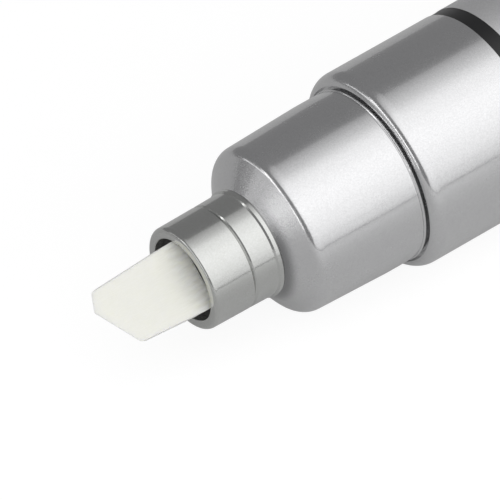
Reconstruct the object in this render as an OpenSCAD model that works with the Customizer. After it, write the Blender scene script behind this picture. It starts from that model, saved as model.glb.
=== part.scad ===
// Liquid chalk marker with a pump valve, open, with its cap posted on the tail.
// Millimetres. The marker lies on the plane z = 0 along X, with the nib towards -X.
// Every piece is drawn upright round its own axis, at its station, and then laid down.
// Station 0 is the front lip of the nib holder, and stations grow towards the tail.

/* [Nib] */
// Width of the felt slab where it leaves the holder
nib_w = 14.1; // [12:0.1:15]
// Thickness of the felt slab
nib_t = 7; // [5.5:0.1:8]
// Radius of the slab's long edges
nib_corner = 0.6; // [0.4:0.1:1.6]
// Reach of the nib in front of the holder
nib_reach = 19.5; // [15:0.1:22]
// Width of the slab at the end cuts
nib_tip_w = 12.4; // [10:0.1:12.6]
// Thickness of the slab at the tip
nib_tip_t = 4.6; // [3:0.1:5.4]
// Distance of the foremost point from the nib's middle
nib_point = 2.6; // [0:0.1:3.4]
// Length of the short end cut, along the axis
short_cut = 1.4; // [0.8:0.1:3]
// Length of the long slanted end cut, along the axis
long_cut = 5.2; // [3:0.1:9]
// Lean of the end cuts back under the nib, in degrees
end_lean = 31; // [0:1:36]
// Radius of the corners between the end cuts
nib_end_corner = 0.5; // [0.3:0.1:1.1]
// Number of ink flutes on each broad face
flute_count = 9; // [5:1:11]
// Radius of an ink flute
flute_r = 0.45; // [0.35:0.05:0.55]
// Depth of an ink flute
flute_depth = 0.25; // [0.15:0.05:0.3]
// Reach of the flutes in front of the holder
flute_reach = 4.5; // [2:0.1:8]
// Length over which a flute runs out at its front end
flute_fade = 2.5; // [1:0.1:4]
// Turn of the nib's width about the axis, from straight down
nib_turn = -53.6; // [-180:0.1:180]

/* [Nib holder] */
// Length of the holder in front of the stepped face
holder_len = 15.5; // [15:0.1:20]
// Wall of the holder at its lip
holder_wall = 2.05; // [1.7:0.05:2.6]
// Growth of the holder's radius from its lip to its base
holder_draft = 0.2; // [0.1:0.05:0.5]
// Radius of the rounded lip
lip_round = 1.1; // [0.6:0.1:1.3]
// Distance of the fine groove from the lip
groove_at = 9.5; // [7:0.1:11]
// Width of the fine groove
groove_w = 1.1; // [0.8:0.1:2]
// Depth of the fine groove
groove_depth = 0.3; // [0.2:0.05:0.4]
// Width of the bead at the holder's base
bead_w = 0.7; // [0.5:0.1:1.8]
// Height of the bead over the holder's surface
bead_h = 0.35; // [0.2:0.05:0.5]
// Length of the spigot behind the stepped face
holder_spigot_len = 9; // [8:0.1:10]
// Wall of that spigot
holder_spigot_wall = 1.05; // [0.9:0.05:1.4]
// Length of the guide insert
guide_len = 9; // [6:0.1:10]
// Depth of the guide insert behind the lip
guide_depth = 2; // [1.2:0.1:2.4]
// Wall of the guide insert at the slab's edges
guide_wall = 0.5; // [0.4:0.05:0.9]

/* [Front section] */
// Diameter of the cylindrical land that the cap seats on
seat_d = 35; // [34:0.1:40]
// Loss of radius from that land to the step's rounded rim
rim_ease = 0.55; // [0.3:0.05:1]
// Length of the step, from its face to the front shell
step_len = 28.1; // [26:0.1:34]
// Length of the cylindrical land
seat_len = 6; // [5:0.1:10]
// Width of the stop bead between the land and the front shell
stop_w = 0.7; // [0.5:0.1:1.4]
// Height of the stop bead over the land
stop_h = 0.2; // [0.1:0.05:0.3]
// Rise of the conical face, from the holder's bead to the rim
face_rise = 4.3; // [3.4:0.1:5]
// Radius of the rounded rim
rim_round = 2.8; // [0.8:0.1:3]
// Wall of the front section
front_wall = 1.9; // [1.5:0.1:2.2]
// Length of the spigot inside the front shell
front_spigot_len = 5.4; // [4.5:0.1:7]
// Width of the shoulder between the land and the spigot
shoulder_w = 0.9; // [0.7:0.05:1.2]
// Wall of the boss that holds the nib holder
boss_wall = 1.8; // [1.2:0.1:2]

/* [Front shell] */
// Height of the marker's outer surface, at the shell and the cap, over the cap's seat
shell_rise = 2.5; // [2.2:0.05:3.5]
// Length of the front shell
shell_len = 26; // [23:0.1:32]
// Radius of the shell's rounded front rim
shell_round = 1.85; // [0.8:0.05:2]
// Lean of the shell's front face
shell_lean = 0.35; // [0.1:0.05:0.6]
// Width of the open ring between the stop bead and the shell
ring_gap = 0.4; // [0.3:0.05:0.6]
// Depth of that ring
ring_depth = 1; // [0.6:0.1:1.4]

/* [Barrel] */
// Wall of the barrel
barrel_wall = 1.8; // [1.4:0.1:2.2]
// Wall of the neck that the shell screws onto
neck_wall = 2; // [1.6:0.1:2.4]
// Depth of the screw seat between the spigot and the neck
thread_step = 0.6; // [0.4:0.05:0.8]
// Step of the barrel below the marker's outer surface
barrel_inset = 0.12; // [0.12:0.01:0.3]
// Width of the black land between the shell and the label
band_w = 3.1; // [2:0.1:6]
// Length of the label
label_len = 51.3; // [45:0.1:80]
// Width of the bare land behind the label
rear_land = 3; // [2:0.1:6]
// Thickness of the label film
label_t = 0.08; // [0.04:0.01:0.08]
// Length of the slope at the reservoir's front end
reservoir_slope = 2.6; // [1.5:0.1:5]

/* [Valve] */
// Travel of the nib when it is pressed
nib_travel = 3; // [2:0.1:3.4]
// Thickness of the clamped flange
flange_t = 1.5; // [1:0.1:2.5]
// Thickness of the rubber gasket on the neck
gasket_t = 1; // [0.6:0.1:1.6]
// Wall of the valve body
valve_wall = 1.8; // [1.4:0.1:2.2]
// Distance of the seat wall in front of the clamped flange
seat_ahead = 4.5; // [3.5:0.1:6]
// Thickness of the seat wall
seat_wall = 2; // [1.5:0.1:2.5]
// Diameter of the hole in the seat wall
port_d = 8.4; // [7.4:0.1:9]
// Width of the raised lip round that hole
port_lip_w = 1; // [0.6:0.1:1]
// Height of the raised lip
port_lip = 0.5; // [0.3:0.1:0.8]
// Length of the chamber behind the seat wall
chamber_len = 17; // [16:0.1:22]
// Number of ink windows in the chamber's wall
window_count = 4; // [3:1:5]
// Width of an ink window
window_w = 5; // [3:0.1:6]
// Length of an ink window
window_len = 6; // [4:0.1:7]
// Distance of the windows behind the clamped flange
window_back = 2; // [1:0.1:2.6]
// Diameter of the valve's head
head_d = 12; // [11.4:0.1:13]
// Thickness of the valve's head
head_t = 1.6; // [1.2:0.1:2.2]
// Room for ink round the head
head_room = 1.8; // [1.2:0.1:2]
// Thickness of the rubber washer on the head
seal_t = 1.2; // [0.8:0.1:1.6]
// Diameter of the stem
stem_d = 4.4; // [3.6:0.1:5]
// Diameter of the guide pin behind the head
pin_d = 3; // [2.4:0.1:3.4]
// Length of the guide pin behind the spring retainer
pin_past = 1; // [0.5:0.1:2]
// Thickness of the spring retainer
retainer_t = 2; // [1.5:0.1:3]
// Radius of the ink holes in the spring retainer
retainer_hole_r = 1.1; // [0.7:0.1:1.2]
// Number of those ink holes
retainer_hole_count = 6; // [4:1:8]

/* [Nib carrier] */
// Width of the ledge that keeps the carrier in the holder
ledge = 0.45; // [0.3:0.05:0.6]
// Depth of the cup that grips the nib
cup_depth = 5.4; // [4:0.1:6]
// Thickness of the cup's floor
cup_floor = 1.4; // [1:0.1:1.6]
// Length of the boss that grips the stem
stem_boss = 2.6; // [2:0.1:4]
// Wall of that boss
stem_boss_wall = 1.2; // [0.8:0.1:1.6]
// Radius of the ink holes in the cup's floor
carrier_hole_r = 0.8; // [0.5:0.1:1]
// Number of ink holes in each row
carrier_hole_count = 3; // [2:1:4]

/* [Spring] */
// Diameter of the spring's wire
wire_d = 0.9; // [0.7:0.05:1]
// Mean diameter of the spring's curls
coil_d = 8.6; // [8:0.1:9.4]
// Number of curls
curl_count = 6; // [4:0.5:6]
// Share by which the end curls lie closer than the average
end_curl_share = 0.2; // [0:0.05:0.2]

/* [Mixing balls] */
// Diameter of a steel mixing ball
ball_d = 6; // [4:0.1:7]
// Distance of the balls from the reservoir's front slope
ball_start = 1.5; // [0.5:0.1:12]

/* [Tail] */
// Length of the plug inside the barrel
plug_len = 8; // [6:0.1:12]
// Thickness of the plug's flange
plug_flange = 2.5; // [2:0.1:4]
// Loss of radius from the cap's seat to the stub that the cap is posted on
tail_ease = 0.15; // [0.05:0.05:0.4]
// Length of that stub
tail_len = 12.5; // [9:0.1:18]
// Wall of the tail plug
tail_wall = 1.8; // [1.4:0.1:2.2]
// Thickness of the disc in the tail's end
disc_t = 1.5; // [1:0.1:2.5]
// Width of the ledge that the disc sits on
disc_ledge = 0.8; // [0.5:0.1:1.2]
// Thickness of the rubber ring on the plug
tail_ring_d = 1.2; // [0.8:0.1:1.2]

/* [Cap] */
// Room in front of the nib when the marker is closed
tip_room = 2.6; // [1:0.1:5]
// Thickness of the cap's end wall
cap_end_t = 2; // [1.5:0.1:4]
// Radius of the cap's rounded end
cap_round = 3; // [1:0.1:3.6]
// Loss of radius inside the cap, from its mouth to its end
cap_draft = 0.4; // [0.2:0.05:0.6]
// Wall of the inner cap
liner_wall = 1.7; // [1.4:0.1:2.2]
// Thickness of the inner cap's flange
liner_flange_t = 1.3; // [1:0.1:2]
// Length of the nib holder that the inner cap covers
liner_cover = 13; // [10:0.1:14]
// Length of the rubber ring in the inner cap's mouth
cap_seal_len = 2.6; // [1.5:0.1:4]
// Thickness of that ring
cap_seal_t = 0.9; // [0.6:0.1:1]

/* [Fits] */
// Radial clearance of pieces that are seated in each other
seat_gap = 0.05; // [0.03:0.01:0.08]
// Clearance of the nib in its guide
nib_gap = 0.15; // [0.1:0.01:0.3]
// Clearance round other pieces that move
slide_gap = 0.3; // [0.2:0.05:0.4]
// Radial clearance of the guide pin in the retainer
pin_gap = 0.08; // [0.05:0.01:0.1]
// Radial clearance of the cap on its stop bead
cap_gap = 0.05; // [0.03:0.01:0.1]
// Clearance of a closed valve from its seat and of the posted cap from its stop
rest_gap = 0.03; // [0.02:0.01:0.1]

/* [Hidden] */

$fn = 96;
silver = "#aeb0b4";
matt_silver = "#c6c7c9";
black = "#1b1b1c";
felt = "#ecece1";
white = "#e8e9e6";
rubber = "#3a3a3b";
steel = "#a9adb2";
arc_step = 15;
cut_over = 1;
edge_round = 0.3;

// Radii from the nib outwards
nib_r = norm([nib_w / 2 - nib_corner, nib_t / 2 - nib_corner]) + nib_corner;
guide_r = nib_r + nib_gap + guide_wall;
bore_r = guide_r + seat_gap;
lip_r = bore_r + holder_wall;
base_r = lip_r + holder_draft;
bead_r = base_r + bead_h;
face_foot_r = bead_r - edge_round / 2;
carrier_r = bore_r + ledge;
carrier_room_r = carrier_r + slide_gap;
holder_spigot_r = carrier_room_r + holder_spigot_wall;
boss_bore_r = holder_spigot_r + seat_gap;
boss_r = boss_bore_r + boss_wall;
nose_bore_r = holder_spigot_r - valve_wall;

// Radii of the step, the shell and the barrel
seat_r = seat_d / 2;
rim_r = seat_r - rim_ease;
stop_r = seat_r + stop_h;
front_spigot_r = seat_r - shoulder_w;
ring_r = stop_r + ring_gap;
neck_r = front_spigot_r + thread_step;
throat_r = neck_r - neck_wall;
body_r = seat_r + shell_rise;
barrel_r = body_r - barrel_inset;
reservoir_r = barrel_r - barrel_wall;
film_r = barrel_r + seat_gap / 2;
tail_r = seat_r - tail_ease;
cap_mouth_r = stop_r + cap_gap;
cap_deep_r = cap_mouth_r - cap_draft;
liner_r = base_r + slide_gap;

// Radii of the valve
head_r = head_d / 2;
chamber_r = head_r + head_room;
chamber_skin_r = chamber_r + valve_wall;
port_r = port_d / 2;
stem_r = stem_d / 2;
pin_r = pin_d / 2;

// Stations from the nib to the tail
face_at = holder_len;
rim_at = face_at + face_rise;
shell_at = face_at + step_len;
stop_at = shell_at - stop_w;
step_end = shell_at + ring_depth;
flange_at = step_end + front_spigot_len;
gasket_at = flange_at + flange_t;
neck_at = gasket_at + gasket_t;
barrel_at = shell_at + shell_len;
reservoir_at = barrel_at + barrel_wall;
label_at = barrel_at + band_w;
barrel_end = label_at + label_len + rear_land;
plug_at = barrel_end - plug_len;
tail_at = barrel_end + plug_flange;
tail_end = tail_at + tail_len;

// Stations inside the holder and the valve
holder_end = face_at + holder_spigot_len;
boss_end = holder_end + holder_spigot_len;
cup_end = holder_end - nib_travel - slide_gap;
nib_end = cup_end - cup_floor;
cup_at = nib_end - cup_depth;
stem_at = cup_end + rest_gap;
seat_at = flange_at - seat_ahead;
seat_end = seat_at + seat_wall;
port_at = seat_end + port_lip;
seal_at = port_at + rest_gap;
head_at = seal_at + seal_t;
spring_at = head_at + head_t + rest_gap;
chamber_end = seat_end + chamber_len;
retainer_at = chamber_end - retainer_t;
spring_len = retainer_at - rest_gap - spring_at;

// Stations of the posted cap
cap_at = tail_at + rest_gap;
liner_end = cap_at + shell_at + nib_reach + tip_room + liner_flange_t;
liner_at = cap_at + shell_at - liner_cover;
cap_end = liner_end + cap_end_t;
middle = (cap_end - nib_reach) / 2;

function xy(p) = [p[0], p[1]];
function unit(v) = v / norm(v);
function short_way(a) = a > 180 ? a - 360 : a < -180 ? a + 360 : a;

// Points that round the corner b, between a and c, with radius r
function corner(a, b, c, r) =
    r == 0 ? [b] :
    let (
        u = unit(a - b),
        w = unit(c - b),
        half = acos(u * w) / 2,
        centre = b + unit(u + w) * r / sin(half),
        first = b + u * r / tan(half) - centre,
        last = b + w * r / tan(half) - centre,
        from = atan2(first[1], first[0]),
        turn = short_way(atan2(last[1], last[0]) - from),
        steps = max(2, ceil(abs(turn) / arc_step))
    )
    [for (i = [0 : steps]) centre + r * [cos(from + turn * i / steps), sin(from + turn * i / steps)]];

// Closed outline from corners given as [across, along, radius]
function outline(corners) =
    let (n = len(corners))
    [for (i = [0 : n - 1])
        each corner(xy(corners[(i + n - 1) % n]), xy(corners[i]), xy(corners[(i + 1) % n]), corners[i][2])];

module lay_down() {
    translate([-middle, 0, body_r])
        rotate([0, 90, 0])
            children();
}

// Body of revolution from corners given as [radius, station, rounding]
module turned(corners) {
    rotate_extrude()
        polygon(outline(corners));
}

module ring(outer_r, inner_r, from, to) {
    turned([[inner_r, from, 0], [outer_r, from, 0], [outer_r, to, 0], [inner_r, to, 0]]);
}

// Bar with rounded long edges, as the nib and the spaces that hold it
module slab(w, t, r, from, to) {
    translate([0, 0, from])
        linear_extrude(to - from)
            polygon(outline([
                [-w / 2, -t / 2, r],
                [w / 2, -t / 2, r],
                [w / 2, t / 2, r],
                [-w / 2, t / 2, r]]));
}

module around(count) {
    for (i = [0 : count - 1])
        rotate(360 * i / count)
            children();
}

// The nib seen on its broad face: the narrowing and the two end cuts, which lean back under that face
module nib_face() {
    foreshort = cos(end_lean);
    back = nib_end + nib_t;
    translate([0, -nib_tip_t / 2, 0])
        rotate([90 + end_lean, 0, 0])
            linear_extrude(2 * (nib_reach + back), center = true)
                polygon(outline([
                    [-nib_w / 2, back * foreshort, 0],
                    [-nib_w / 2, 0, 0],
                    [-nib_tip_w / 2, (short_cut - nib_reach) * foreshort, nib_end_corner],
                    [-nib_point, -nib_reach * foreshort, nib_end_corner],
                    [nib_tip_w / 2, (long_cut - nib_reach) * foreshort, nib_end_corner],
                    [nib_w / 2, 0, 0],
                    [nib_w / 2, back * foreshort, 0]]));
}

// The nib seen on its narrow face: the wedge of the tip
module nib_side() {
    rotate([90, 0, 90])
        linear_extrude(nib_w + cut_over, center = true)
            polygon([
                [-nib_t / 2, nib_end],
                [-nib_t / 2, 0],
                [-nib_tip_t / 2, -nib_reach],
                [-nib_tip_t / 2, -nib_reach - cut_over],
                [nib_tip_t / 2, -nib_reach - cut_over],
                [nib_tip_t / 2, -nib_reach],
                [nib_t / 2, 0],
                [nib_t / 2, nib_end]]);
}

module nib_flutes() {
    flute_pitch = (nib_w - 2 * nib_corner) / flute_count;
    flute_lift = flute_r - flute_depth;
    flute_y = nib_t / 2 + flute_lift;
    for (side = [-1, 1], i = [0 : flute_count - 1])
        translate([(i - (flute_count - 1) / 2) * flute_pitch, side * flute_y, -flute_reach]) {
            cylinder(r1 = flute_lift / 2, r2 = flute_r, h = flute_fade);
            translate([0, 0, flute_fade])
                cylinder(r = flute_r, h = flute_reach - flute_fade + nib_end + cut_over);
        }
}

module nib() {
    color(felt) lay_down() rotate(nib_turn)
        difference() {
            intersection() {
                slab(nib_w, nib_t, nib_corner, -nib_reach - cut_over, nib_end);
                nib_face();
                nib_side();
            }
            nib_flutes();
        }
}

module nib_guide() {
    guide_end = guide_depth + guide_len;
    color(black) lay_down() rotate(nib_turn)
        difference() {
            turned([
                [0, guide_depth, 0],
                [guide_r, guide_depth, 0],
                [guide_r, guide_end, 0],
                [0, guide_end, 0]]);
            slab(nib_w + 2 * nib_gap, nib_t + 2 * nib_gap, nib_corner + nib_gap,
                guide_depth - cut_over, guide_end + cut_over);
        }
}

module nib_holder() {
    groove_r = base_r - holder_draft / 2;
    color(silver) lay_down()
        turned([
            [bore_r, 0, edge_round],
            [lip_r, 0, lip_round],
            [groove_r, groove_at - groove_w / 2, 0],
            [groove_r - groove_depth, groove_at, 0],
            [groove_r, groove_at + groove_w / 2, 0],
            [base_r, face_at - bead_w - bead_h, 0],
            [bead_r, face_at - bead_w, 0],
            [bead_r, face_at - edge_round, 0],
            [bead_r - edge_round, face_at, 0],
            [holder_spigot_r, face_at, 0],
            [holder_spigot_r, holder_end, 0],
            [carrier_room_r, holder_end, 0],
            [carrier_room_r, cup_at - rest_gap, 0],
            [bore_r, cup_at - rest_gap, 0]]);
}

module front_section() {
    color(silver) lay_down()
        turned([
            [boss_bore_r, face_at, 0],
            [face_foot_r, face_at, 0],
            [rim_r, rim_at, rim_round],
            [seat_r, stop_at - seat_len, 0],
            [seat_r, stop_at, 0],
            [stop_r, stop_at + stop_h, 0],
            [stop_r, step_end, 0],
            [front_spigot_r, step_end, 0],
            [front_spigot_r, flange_at, 0],
            [front_spigot_r - front_wall, flange_at, 0],
            [rim_r - front_wall, rim_at + front_wall, front_wall],
            [boss_r, rim_at, edge_round],
            [boss_r, boss_end, 0],
            [boss_bore_r, boss_end, 0]]);
}

module front_shell() {
    round_r = min(shell_round, body_r - ring_r - seat_gap);
    color(silver) lay_down()
        turned([
            [ring_r, shell_at, 0],
            [body_r, shell_at + shell_lean, round_r],
            [body_r, barrel_at, 0],
            [neck_r + seat_gap, barrel_at, 0],
            [neck_r + seat_gap, flange_at, 0],
            [front_spigot_r + seat_gap, flange_at, 0],
            [front_spigot_r + seat_gap, step_end, 0],
            [ring_r, step_end, 0]]);
}

module barrel() {
    color(black) lay_down()
        turned([
            [throat_r, neck_at, 0],
            [neck_r, neck_at, 0],
            [neck_r, barrel_at, 0],
            [barrel_r, barrel_at, 0],
            [barrel_r, barrel_end, 0],
            [reservoir_r, barrel_end, 0],
            [reservoir_r, reservoir_at + reservoir_slope, 0],
            [throat_r, reservoir_at, 0]]);
}

module label_sleeve() {
    color(matt_silver) lay_down()
        ring(film_r + label_t, film_r, label_at, label_at + label_len);
}

module nib_carrier() {
    grip_r = stem_r + seat_gap;
    hole_x = nib_w / 4;
    hole_pitch = nib_t / carrier_hole_count;
    color(white) lay_down() rotate(nib_turn)
        difference() {
            union() {
                turned([[0, cup_at, 0], [carrier_r, cup_at, 0], [carrier_r, cup_end, 0], [0, cup_end, 0]]);
                ring(grip_r + stem_boss_wall, grip_r, cup_end - cup_floor / 2, cup_end + stem_boss);
            }
            slab(nib_w + 2 * seat_gap, nib_t + 2 * seat_gap, nib_corner + seat_gap,
                cup_at - cut_over, nib_end);
            for (side = [-1, 1], i = [0 : carrier_hole_count - 1]) {
                hole_y = (i - (carrier_hole_count - 1) / 2) * hole_pitch;
                translate([side * hole_x, hole_y, nib_end - cut_over])
                    cylinder(r = carrier_hole_r, h = cup_floor + 2 * cut_over);
            }
        }
}

module valve_stem() {
    color(white) lay_down()
        turned([
            [0, stem_at, 0],
            [stem_r, stem_at, 0],
            [stem_r, head_at, 0],
            [head_r, head_at, 0],
            [head_r, head_at + head_t, 0],
            [pin_r, head_at + head_t, 0],
            [pin_r, chamber_end + pin_past, 0],
            [0, chamber_end + pin_past, 0]]);
}

module valve_seal() {
    color(rubber) lay_down()
        ring(head_r, stem_r + seat_gap, seal_at, head_at);
}

module valve_body() {
    window_at = gasket_at + window_back;
    color(white) lay_down()
        difference() {
            turned([
                [nose_bore_r, holder_end + rest_gap, 0],
                [holder_spigot_r, holder_end + rest_gap, 0],
                [holder_spigot_r, flange_at, 0],
                [neck_r, flange_at, 0],
                [neck_r, gasket_at, 0],
                [chamber_skin_r, gasket_at, 0],
                [chamber_skin_r, chamber_end, 0],
                [chamber_r, chamber_end, 0],
                [chamber_r, seat_end, 0],
                [port_r + port_lip_w, seat_end, 0],
                [port_r + port_lip_w, port_at, 0],
                [port_r, port_at, 0],
                [port_r, seat_at, 0],
                [nose_bore_r, seat_at, 0]]);
            around(window_count)
                translate([chamber_r - cut_over, -window_w / 2, window_at])
                    cube([valve_wall + 2 * cut_over, window_w, window_len]);
        }
}

module spring_retainer() {
    hole_ring_r = (pin_r + chamber_r) / 2;
    color(white) lay_down()
        difference() {
            ring(chamber_r - seat_gap, pin_r + pin_gap, retainer_at, chamber_end);
            around(retainer_hole_count)
                translate([hole_ring_r, 0, retainer_at - cut_over])
                    cylinder(r = retainer_hole_r, h = retainer_t + 2 * cut_over);
        }
}

// Centre of the spring's wire at share t of its length
function coil_point(t) =
    let (turn = 360 * curl_count * t, rise = t - end_curl_share * sin(360 * t) / (2 * PI))
    [coil_d / 2 * cos(turn), coil_d / 2 * sin(turn), spring_at + wire_d / 2 + (spring_len - wire_d) * rise];

rings_per_curl = 8;
wire_sides = 6;
ring_total = ceil(curl_count * rings_per_curl);
coil_centres = [for (i = [0 : ring_total]) coil_point(i / ring_total)];
coil_gap = min([
    for (i = [0 : ring_total], j = [i + rings_per_curl / 2 : 1 : ring_total])
        norm(coil_centres[i] - coil_centres[j])]) - wire_d;
echo(least_gap_between_curls = coil_gap);

// Points round the wire at ring i, square to the wire
function wire_ring(i) =
    let (
        c = coil_centres[i],
        ahead = coil_centres[min(i + 1, ring_total)] - coil_centres[max(i - 1, 0)],
        out = unit([c[0], c[1], 0]),
        up = unit(cross(ahead, out)),
        side = unit(cross(up, ahead))
    )
    [for (k = [0 : wire_sides - 1])
        c + wire_d / 2 * (cos(360 * k / wire_sides) * side + sin(360 * k / wire_sides) * up)];

module valve_spring() {
    last = ring_total * wire_sides;
    color(steel) lay_down()
        polyhedron(
            points = [for (i = [0 : ring_total]) each wire_ring(i)],
            faces = concat(
                [for (i = [0 : ring_total - 1], k = [0 : wire_sides - 1])
                    let (a = i * wire_sides + k, b = i * wire_sides + (k + 1) % wire_sides)
                    each [[a, b, a + wire_sides], [b, b + wire_sides, a + wire_sides]]],
                [for (k = [1 : wire_sides - 2]) [0, k + 1, k]],
                [for (k = [1 : wire_sides - 2]) [last, last + k, last + k + 1]]));
}

module neck_gasket() {
    color(rubber) lay_down()
        ring(neck_r, throat_r, gasket_at, neck_at);
}

// One ball at the bottom of the reservoir, in the lane to one side of the middle
module mixing_ball(side) {
    lane_r = reservoir_r - slide_gap - ball_d / 2;
    lane_y = ball_d / 2 + slide_gap;
    ball_at = reservoir_at + reservoir_slope + ball_start + ball_d / 2;
    color(steel) lay_down()
        translate([sqrt(lane_r ^ 2 - lane_y ^ 2), side * lane_y, ball_at])
            sphere(d = ball_d);
}

module mixing_ball_left() {
    mixing_ball(1);
}

module mixing_ball_right() {
    mixing_ball(-1);
}

module tail_plug() {
    plug_r = reservoir_r - seat_gap;
    groove_front = plug_at + tail_ring_d;
    groove_back = groove_front + tail_ring_d + 2 * seat_gap;
    groove_r = reservoir_r - tail_ring_d - 2 * seat_gap;
    disc_seat = tail_end - disc_t;
    color(black) lay_down()
        turned([
            [0, barrel_end, 0],
            [groove_r - tail_wall, barrel_end, 0],
            [groove_r - tail_wall, plug_at, 0],
            [plug_r, plug_at, 0],
            [plug_r, groove_front, 0],
            [groove_r, groove_front, 0],
            [groove_r, groove_back, 0],
            [plug_r, groove_back, 0],
            [plug_r, barrel_end, 0],
            [barrel_r, barrel_end, 0],
            [barrel_r, tail_at, edge_round],
            [tail_r, tail_at, 0],
            [tail_r, tail_end, edge_round],
            [tail_r - tail_wall, tail_end, 0],
            [tail_r - tail_wall, disc_seat, 0],
            [tail_r - tail_wall - disc_ledge, disc_seat, 0],
            [tail_r - tail_wall - disc_ledge, tail_at, 0],
            [0, tail_at, 0]]);
}

module tail_seal() {
    ring_r = tail_ring_d / 2;
    color(rubber) lay_down()
        rotate_extrude()
            translate([reservoir_r - seat_gap - ring_r, plug_at + tail_ring_d + ring_r + seat_gap])
                circle(ring_r);
}

module end_disc() {
    color(white) lay_down()
        turned([
            [0, tail_end - disc_t, 0],
            [tail_r - tail_wall - seat_gap, tail_end - disc_t, 0],
            [tail_r - tail_wall - seat_gap, tail_end, edge_round],
            [0, tail_end, 0]]);
}

module cap_shell() {
    color(silver) lay_down()
        turned([
            [cap_mouth_r, cap_at, 0],
            [body_r, cap_at, edge_round],
            [body_r, cap_end, cap_round],
            [0, cap_end, 0],
            [0, liner_end, 0],
            [cap_deep_r, liner_end, 0]]);
}

module cap_liner() {
    flange_front = liner_end - liner_flange_t;
    seal_room_r = liner_r - seat_gap + cap_seal_t;
    color(white) lay_down()
        turned([
            [0, flange_front, 0],
            [liner_r, flange_front, 0],
            [liner_r, liner_at + cap_seal_len, 0],
            [seal_room_r, liner_at + cap_seal_len, 0],
            [seal_room_r, liner_at, 0],
            [liner_r + liner_wall, liner_at, 0],
            [liner_r + liner_wall, flange_front, 0],
            [cap_deep_r - seat_gap, flange_front, 0],
            [cap_deep_r - seat_gap, liner_end, 0],
            [0, liner_end, 0]]);
}

module cap_seal() {
    ring_inner_r = liner_r - 2 * seat_gap;
    color(rubber) lay_down()
        ring(ring_inner_r + cap_seal_t, ring_inner_r, liner_at, liner_at + cap_seal_len);
}

nib();
nib_guide();
nib_holder();
front_section();
front_shell();
barrel();
label_sleeve();
nib_carrier();
valve_stem();
valve_seal();
valve_body();
valve_spring();
spring_retainer();
neck_gasket();
mixing_ball_left();
mixing_ball_right();
tail_plug();
tail_seal();
end_disc();
cap_shell();
cap_liner();
cap_seal();
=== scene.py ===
# %% [markdown]
# # A liquid chalk marker, dressed for its photograph
# The marker lies open on a white table, seen from its front, with a felt chisel nib in a stepped silver
# barrel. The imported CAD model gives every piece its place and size. This lesson adds what CAD can't show:
# smooth turned surfaces, painted, filmed and moulded finishes, felt, light and a camera.
# We could model everything by hand in the viewport. We work the surfaces out with numpy instead, because a
# marker is nearly all turned profiles, and a profile is a short list of real measures.

import bpy
import numpy as np
from mathutils import Matrix, Vector


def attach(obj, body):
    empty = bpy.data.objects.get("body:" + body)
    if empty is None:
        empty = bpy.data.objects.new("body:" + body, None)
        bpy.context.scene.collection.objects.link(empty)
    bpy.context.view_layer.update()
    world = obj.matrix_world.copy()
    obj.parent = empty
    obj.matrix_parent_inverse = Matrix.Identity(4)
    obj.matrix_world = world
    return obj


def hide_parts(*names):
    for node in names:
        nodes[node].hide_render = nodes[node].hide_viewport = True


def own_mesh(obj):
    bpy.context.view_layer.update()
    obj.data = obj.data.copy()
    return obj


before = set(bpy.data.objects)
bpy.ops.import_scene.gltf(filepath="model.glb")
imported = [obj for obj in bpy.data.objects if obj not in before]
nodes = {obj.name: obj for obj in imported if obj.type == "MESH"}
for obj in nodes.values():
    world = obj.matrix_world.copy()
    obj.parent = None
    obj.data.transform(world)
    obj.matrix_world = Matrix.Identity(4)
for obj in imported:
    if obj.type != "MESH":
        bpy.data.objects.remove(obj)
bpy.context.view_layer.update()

# %% [markdown]
# ## The camera
# The photograph was taken from far away with a long lens: the barrel shows no narrowing. The view comes
# from 38 degrees left of straight on and 47 degrees up. We could use an orthographic camera, but a long lens
# two metres away gives the same picture and behaves as a real camera does in the other views.

# %% Camera at the photograph's angle
AZIMUTH, ELEVATION = np.radians(-37.9), np.radians(46.9)
TARGET = np.array([-0.07725, -0.0045, 0.0238])
DISTANCE = 2.0
FRAME_WIDTH = 0.0915
SENSOR = 36.0


def camera_axes(azimuth, elevation):
    """Right, up and back of a camera: back points from the target to the camera, right is level."""
    back = np.array([np.sin(azimuth) * np.cos(elevation), -np.cos(azimuth) * np.cos(elevation),
                     np.sin(elevation)])
    right = np.array([np.cos(azimuth), np.sin(azimuth), 0.0])
    return right, np.cross(back, right), back


right, up, back = camera_axes(AZIMUTH, ELEVATION)
camera = bpy.data.objects.new("camera", bpy.data.cameras.new("camera"))
bpy.context.scene.collection.objects.link(camera)
camera.data.sensor_width = SENSOR
camera.data.lens = SENSOR * DISTANCE / FRAME_WIDTH
camera.data.clip_end = 50.0
place = Matrix(np.column_stack([right, up, back]).tolist()).to_4x4()
place.translation = Vector(TARGET + DISTANCE * back)
camera.matrix_world = place
bpy.context.scene.camera = camera
bpy.context.scene.view_settings.view_transform = "Standard"
print("lens in mm:", round(camera.data.lens))

# %% [markdown]
# ## Colours and nodes
# Every colour is written as the hex value that a colour picker shows, and one function turns it into the
# linear value that Blender's sockets want. Another small function adds a node, its settings and its links,
# so that a material reads as a list of what it does.

# %% Colour and node helpers
MM = 0.001


def linear(hex_colour):
    """sRGB to linear: a share below 0.04045 is divided by 12.92. A greater one has 0.055 added, is divided
    by 1.055 and raised to the power of 2.4."""
    share = np.array([int(hex_colour[i:i + 2], 16) for i in (1, 3, 5)]) / 255
    return (*np.where(share <= 0.04045, share / 12.92, ((share + 0.055) / 1.055) ** 2.4).tolist(), 1.0)


def add(tree, kind, inputs=None, **settings):
    """A node of this kind. Each input is a constant, or an output socket of another node, which is linked."""
    node = tree.nodes.new(kind)
    for name, value in settings.items():
        setattr(node, name, value)
    for key, value in (inputs or {}).items():
        if isinstance(value, bpy.types.NodeSocket):
            tree.links.new(value, node.inputs[key])
        else:
            node.inputs[key].default_value = value
    return node


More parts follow.
